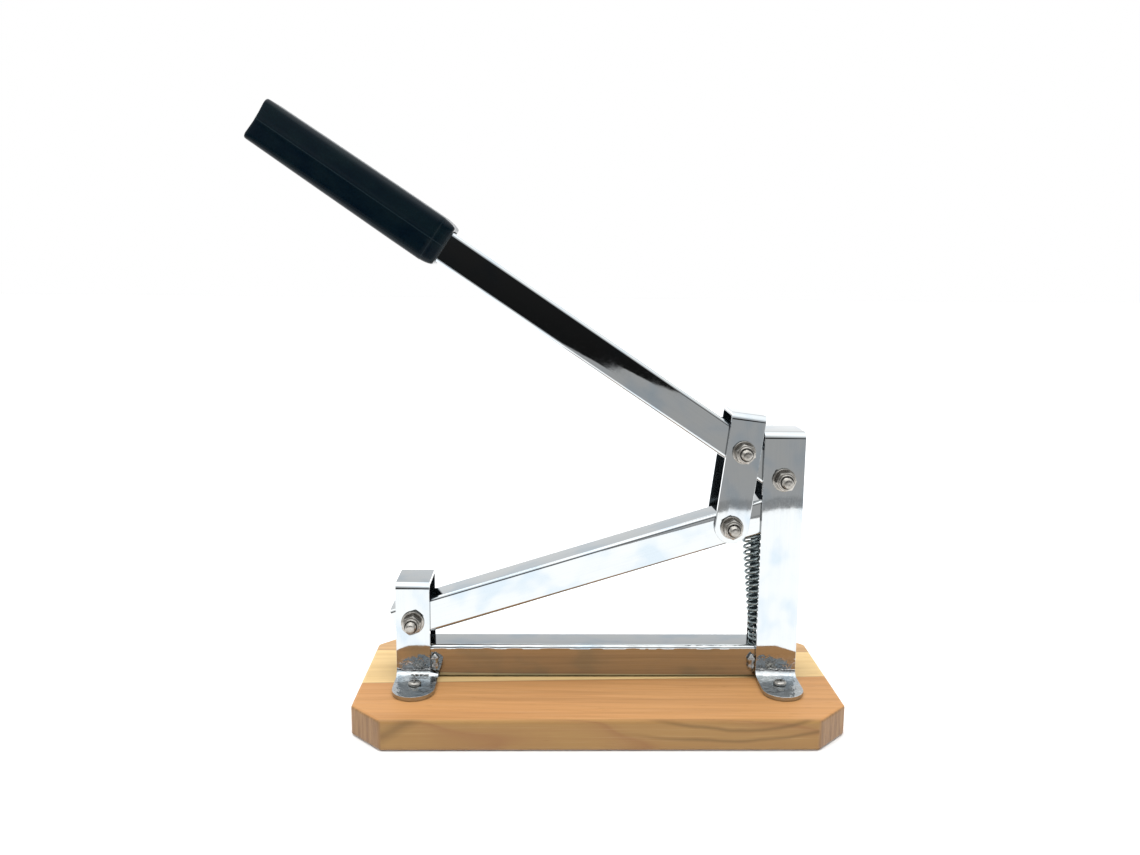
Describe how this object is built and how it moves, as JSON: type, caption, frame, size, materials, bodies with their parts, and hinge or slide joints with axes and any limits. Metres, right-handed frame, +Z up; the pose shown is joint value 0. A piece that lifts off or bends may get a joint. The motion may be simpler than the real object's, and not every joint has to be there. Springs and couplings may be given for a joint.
{
  "type": "lever tile cutter",
  "caption": "Bench lever cutter: wooden board, plated tube beam, hinged tube arm pulled down through a link by a long lever with a moulded grip, lifted again by a coil spring",
  "frame": {"origin": "centre of the board's underside, where it rests on the bench", "axes": "+X along the beam from the short post to the tall post, +Y to the rear, away from the nuts, +Z up"},
  "size_m": [0.4202, 0.16, 0.4379],
  "materials": {
    "oiled_wood": "oiled, edge-glued strips of light and darker timber",
    "plated_steel": "bright plated mild steel with faint mottling",
    "weld_steel": "lumpy plated weld metal",
    "fastener_steel": "warm grey stainless",
    "spring_steel": "dark oiled spring wire",
    "black_grip": "moulded, slightly satin"
  },
  "bodies": {
    "root": {"base_board": "oiled_wood", "lower_beam": "plated_steel", "left_post": "plated_steel", "right_post": "plated_steel", "return_spring": "spring_steel", "spring_stud": "plated_steel", "weld_bead_left_front": "weld_steel", "weld_bead_left_rear": "weld_steel", "weld_bead_right_front": "weld_steel", "weld_bead_right_rear": "weld_steel", "arm_hinge_bolt": "fastener_steel", "arm_hinge_nut": "fastener_steel", "arm_hinge_washer_front": "fastener_steel", "arm_hinge_washer_rear": "fastener_steel", "lever_hinge_bolt": "fastener_steel", "lever_hinge_nut": "fastener_steel", "lever_hinge_washer_front": "fastener_steel", "lever_hinge_washer_rear": "fastener_steel", "foot_screw_left_front": "fastener_steel", "foot_screw_left_rear": "fastener_steel", "foot_screw_right_front": "fastener_steel", "foot_screw_right_rear": "fastener_steel"},
    "arm": {"arm_tube": "plated_steel"},
    "lever": {"lever_tube": "plated_steel", "lever_grip": "black_grip"},
    "link": {"link_strap": "plated_steel", "link_upper_bolt": "fastener_steel", "link_upper_nut": "fastener_steel", "link_upper_washer_front": "fastener_steel", "link_upper_washer_rear": "fastener_steel", "link_lower_bolt": "fastener_steel", "link_lower_nut": "fastener_steel", "link_lower_washer_front": "fastener_steel", "link_lower_washer_rear": "fastener_steel"}
  },
  "joints": [
    {"name": "lever_hinge", "type": "hinge", "parent": "root", "child": "lever", "pos_m": [0.1347, 0.007, 0.1758], "axis": [0, -1, 0], "range_deg": [0, 47], "stiffness_Nm_per_rad": 2.2, "springref_deg": -65.89},
    {"name": "arm_hinge", "type": "hinge", "parent": "root", "child": "arm", "pos_m": [-0.1368, 0.007, 0.0666], "axis": [0, 1, 0], "range_deg": [0, 6.8], "deforming": ["return_spring"]},
    {"name": "link_hinge", "type": "hinge", "parent": "lever", "child": "link", "pos_m": [0.10474, 0.007, 0.19593], "axis": [0, 1, 0], "range_deg": [0, 32.4]}
  ],
  "couplings": [
    {"joint": "arm_hinge", "follows": "lever_hinge", "ratio": 0.14366},
    {"joint": "link_hinge", "follows": "lever_hinge", "ratio": 0.68599}
  ]
}
